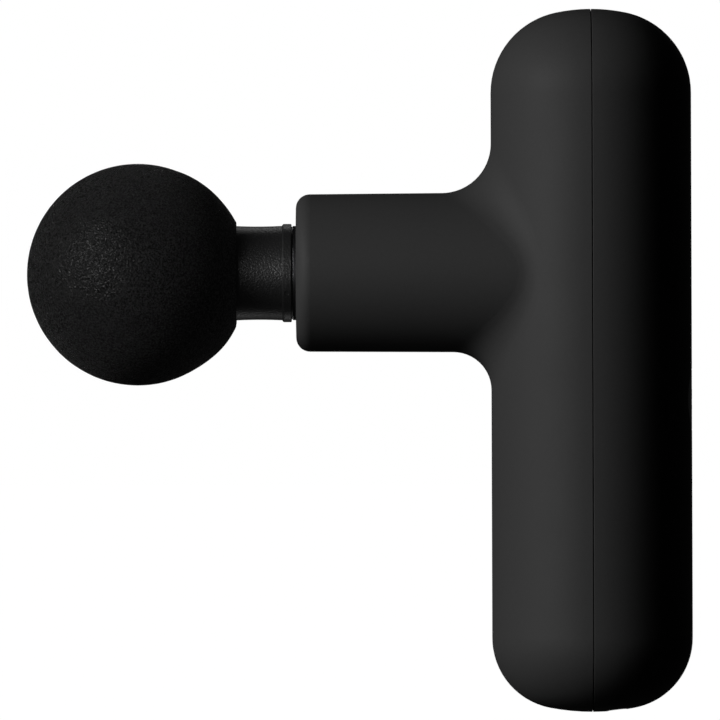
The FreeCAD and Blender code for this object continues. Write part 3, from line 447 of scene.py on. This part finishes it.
def ball_faces(rings, front, back):
    """Quads between neighbouring rings, and a fan round the point at each end."""
    faces = []
    for i in range(rings - 1):
        a, b = i * BALL_SEGMENTS, (i + 1) * BALL_SEGMENTS
        for j in range(BALL_SEGMENTS):
            k = (j + 1) % BALL_SEGMENTS
            faces.append((a + j, b + j, b + k, a + k))
    last_ring = (rings - 1) * BALL_SEGMENTS
    for j in range(BALL_SEGMENTS):
        k = (j + 1) % BALL_SEGMENTS
        faces.append((front, j, k))
        faces.append((back, last_ring + k, last_ring + j))
    return faces


def foam_ball(material):
    """The foam ball, moulded round the stem and settled a little off the stem's axis."""
    low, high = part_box("foam_ball")
    stem_low, stem_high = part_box("head_stem")
    radius = (high.z - low.z) / 2
    centre = Vector((low.x + radius, 0.0, (stem_low.z + stem_high.z) / 2))
    drop = Vector((0, 0, (low.z + high.z) / 2 - centre.z))
    profile, skin_count = ball_profile(radius)
    points = ball_points(profile, skin_count, radius, centre, drop)
    faces = ball_faces(len(profile) - 2, len(points) - 2, len(points) - 1)
    piece = mesh_piece("massage_ball", points, faces, material, "head")
    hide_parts("foam_ball")


def port_contacts(material):
    """Flat contacts along both faces of the charging port's tongue."""
    low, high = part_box("charge_port_tongue")
    pitch = (high.y - low.y) / (CONTACTS + CONTACT_MARGIN)
    foot, top = low.z + CONTACT_FOOT, high.z - CONTACT_TOP
    points, faces = [], []
    for face_x, out in ((low.x, -CONTACT_PLATE), (high.x, CONTACT_PLATE)):
        for i in range(CONTACTS):
            y = (low.y + high.y) / 2 + (i - (CONTACTS - 1) / 2) * pitch
            start = len(points)
            for x, inset in ((face_x, 0.0), (face_x + out, CONTACT_BEVEL)):
                half = CONTACT_WIDTH / 2 - inset
                points += [(x, y - half, foot + inset), (x, y + half, foot + inset),
                           (x, y + half, top - inset), (x, y - half, top - inset)]
            faces += [tuple(start + corner for corner in face) for face in BLOCK_FACES]
    piece = mesh_piece("port_contacts", points, faces, material, "housing", smooth=False)
    face_outwards(piece)


def on_surface(node, y, z):
    """Where a line along -X from outside meets a node."""
    hit, place, _, _ = frame["nodes"][node].ray_cast(Vector((RAY_START, y, z)), Vector((-1, 0, 0)))
    assert hit, f"nothing of {node} at y {y}, z {z}"
    return place.x


def symbol_strips():
    """The open ring and the bar, each as rows of two (y, z) points across the line."""
    ring = []
    for i in range(RING_STEPS + 1):
        t = math.pi / 2 + RING_OPEN_HALF + (2 * math.pi - 2 * RING_OPEN_HALF) * i / RING_STEPS
        edges = (SYMBOL_R - SYMBOL_HALF_LINE, SYMBOL_R + SYMBOL_HALF_LINE)
        ring.append([(r * math.cos(t), r * math.sin(t)) for r in edges])
    heights = [BAR_LOW + (BAR_HIGH - BAR_LOW) * i / BAR_STEPS for i in range(BAR_STEPS + 1)]
    bar = [[(SYMBOL_HALF_LINE, h), (-SYMBOL_HALF_LINE, h)] for h in heights]
    return ring, bar


def strip_faces(start, rows):
    """The four sides and two ends of a strip whose rows hold four points each."""
    faces = []
    for i in range(rows - 1):
        a, b = start + 4 * i, start + 4 * i + 4
        faces += [(a + 1, b + 1, b + 3, a + 3), (a, a + 2, b + 2, b), (a, b, b + 1, a + 1),
                  (a + 2, a + 3, b + 3, b + 2)]
    end = start + 4 * (rows - 1)
    return faces + [(start, start + 1, start + 3, start + 2), (end, end + 2, end + 3, end + 1)]


def power_symbol(material):
    """A plain on-off symbol printed on the button: an open ring and a bar."""
    low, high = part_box("power_button")
    middle_z = (low.z + high.z) / 2
    points, faces = [], []
    for strip in symbol_strips():
        start = len(points)
        for row in strip:
            for y, z in row:
                x = on_surface("power_button", y, middle_z + z)
                points += [(x - INK, y, middle_z + z), (x + INK, y, middle_z + z)]
        faces += strip_faces(start, len(strip))
    piece = mesh_piece("power_symbol", points, faces, material, "button", smooth=False)
    face_outwards(piece)


# ---- stage ------------------------------------------------------------------------------------
def emission_world():
    """White where the camera sees past the object, a faint grey in reflections, and no other light."""
    world = bpy.data.worlds.new("white_studio")
    world.use_nodes = True
    tree = world.node_tree
    tree.nodes.clear()
    rays = tree.nodes.new("ShaderNodeLightPath")
    dark = tree.nodes.new("ShaderNodeBackground")
    dark.inputs["Color"].default_value = (REFLECTED_GREY, REFLECTED_GREY, REFLECTED_GREY, 1)
    tree.links.new(rays.outputs["Is Glossy Ray"], dark.inputs["Strength"])
    white = tree.nodes.new("ShaderNodeBackground")
    white.inputs["Color"].default_value = (1, 1, 1, 1)
    mix = tree.nodes.new("ShaderNodeMixShader")
    out = tree.nodes.new("ShaderNodeOutputWorld")
    tree.links.new(rays.outputs["Is Camera Ray"], mix.inputs[0])
    tree.links.new(dark.outputs[0], mix.inputs[1])
    tree.links.new(white.outputs[0], mix.inputs[2])
    tree.links.new(mix.outputs[0], out.inputs["Surface"])
    bpy.context.scene.world = world


def pale_floor(middle, foot_z):
    """A wide white floor, brighter away from the object so that its edge melts into the background."""
    made = Surface("white_floor", FLOOR_COLOR, FLOOR_ROUGHNESS)
    away = made.node("ShaderNodeVectorMath", {0: made.place}, operation="LENGTH").outputs["Value"]
    glow = made.between(away, GLOW_NEAR, GLOW_FAR, GLOW_LOW, GLOW_HIGH)
    made.set("Emission Color", (1, 1, 1, 1))
    made.tree.links.new(glow, made.shader.inputs["Emission Strength"])
    bpy.ops.mesh.primitive_plane_add(size=FLOOR_SIZE, location=(middle.x, middle.y, foot_z - FLOOR_DROP))
    floor = bpy.context.object
    floor.name = "floor"
    floor.data.materials.append(made.material)
    floor.visible_diffuse = False
    floor.visible_glossy = False


def softbox(name, middle, kind, diffuse=True, glossy=True, distance=LIGHT_DISTANCE):
    """A square area light that faces the object's middle, turned round it from the camera's side."""
    turn, lift, size, power = kind
    turn, lift = math.radians(turn), math.radians(lift)
    way = Vector((math.sin(turn) * math.cos(lift), -math.cos(turn) * math.cos(lift), math.sin(lift)))
    lamp = bpy.data.lights.new(name, "AREA")
    lamp.size = size
    lamp.energy = power
    holder = bpy.data.objects.new(name, lamp)
    bpy.context.scene.collection.objects.link(holder)
    holder.location = middle + way * distance
    holder.rotation_euler = way.to_track_quat("Z", "Y").to_euler()
    holder.visible_diffuse = diffuse
    holder.visible_glossy = glossy
    holder.visible_camera = False
    return holder


def light_only(lamps, pieces):
    """Keeps the lamps' light off everything but the pieces."""
    lit = bpy.data.collections.new("lit_by_" + lamps[0].name)
    for piece in pieces:
        lit.objects.link(piece)
    for lamp in lamps:
        lamp.light_linking.receiver_collection = lit


def studio_lights(middle):
    """Three lights for everything, edge lights that reach only the stem, and a fill for the ball."""
    softbox("key", middle, KEY)
    softbox("front", middle, FRONT, diffuse=False)
    softbox("back", middle, BACK, glossy=False)
    top = softbox("top", middle, TOP, diffuse=False)
    under = softbox("under", middle, UNDER, diffuse=False, distance=UNDER_DISTANCE)
    fill = softbox("fill", middle, FILL, glossy=False)
    light_only([top, under], [frame["nodes"]["head_stem"]])
    light_only([fill], [bpy.data.objects["massage_ball"]])


def camera(middle, height):
    """A long lens that looks along +Y at the object's side."""
    lens = bpy.data.cameras.new("camera")
    lens.lens, lens.sensor_width = LENS_MM, SENSOR_MM
    holder = bpy.data.objects.new("camera", lens)
    bpy.context.scene.collection.objects.link(holder)
    distance = height * FRAME_MARGIN * LENS_MM / SENSOR_MM
    looking = Matrix.Rotation(math.pi / 2, 4, "X") @ Matrix.Rotation(CAMERA_ROLL, 4, "Z")
    place = middle + CAMERA_AIM + Vector((0, -distance, 0))
    holder.matrix_world = Matrix.Translation(place) @ looking
    lens.clip_start, lens.clip_end = 0.01, 100.0
    bpy.context.scene.camera = holder


def main():
    low, high = (Vector(corner) for corner in cad_box)
    middle = (low + high) / 2
    materials = slot_materials()
    finish_cad_nodes(materials)
    foam_ball(materials["ball_foam"])
    power_symbol(printed_ink())
    port_contacts(turned_metal("contact_gold", (0.80, 0.56, 0.20), 0.26))
    emission_world()
    pale_floor(middle, low.z)
    studio_lights(middle)
    camera(middle, high.z - low.z)
    bpy.context.scene.view_settings.view_transform = "Standard"


main()
